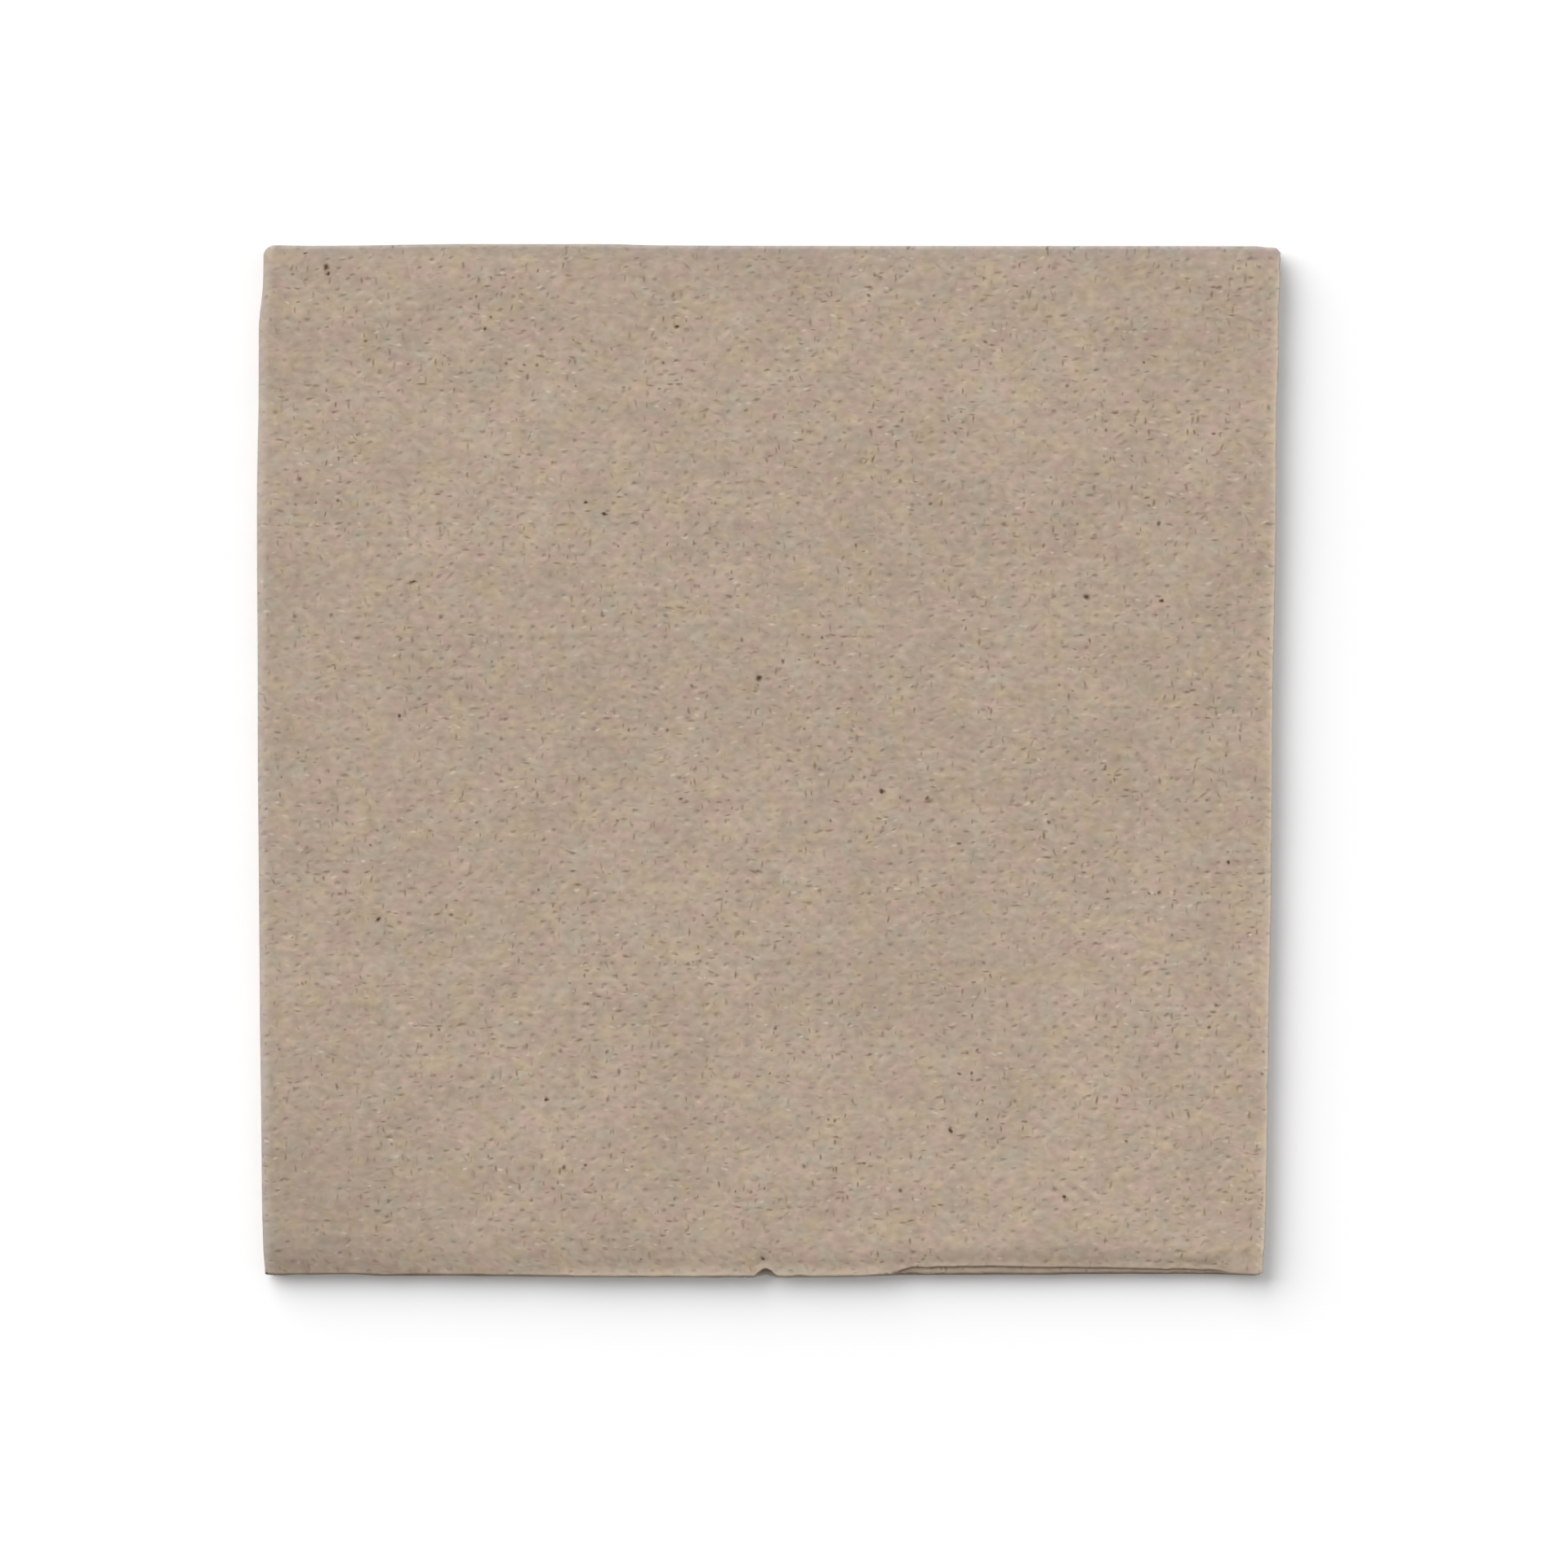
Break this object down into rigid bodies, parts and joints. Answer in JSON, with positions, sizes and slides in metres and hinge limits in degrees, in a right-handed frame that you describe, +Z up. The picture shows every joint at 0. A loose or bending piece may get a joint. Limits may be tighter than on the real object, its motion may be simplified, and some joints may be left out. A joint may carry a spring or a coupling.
{
  "type": "paper napkin",
  "caption": "Square tissue paper napkin folded in quarters, lying flat, with two folded sides and two sides of cut edges.",
  "frame": {"origin": "on the surface that the napkin lies on, under the middle of its bounding box", "axes": "+Z up through the layers, +Y towards the top fold that joins the layers of each pair, +X towards the open side with the cut edges, away from the side fold"},
  "size_m": [0.125, 0.126, 0.0029],
  "materials": {
    "kraft_tissue": "matt unbleached recycled tissue, creped, with a fine dot embossing and dark fibre specks"
  },
  "bodies": {
    "root": {"folded_napkin": "kraft_tissue"}
  },
  "joints": []
}
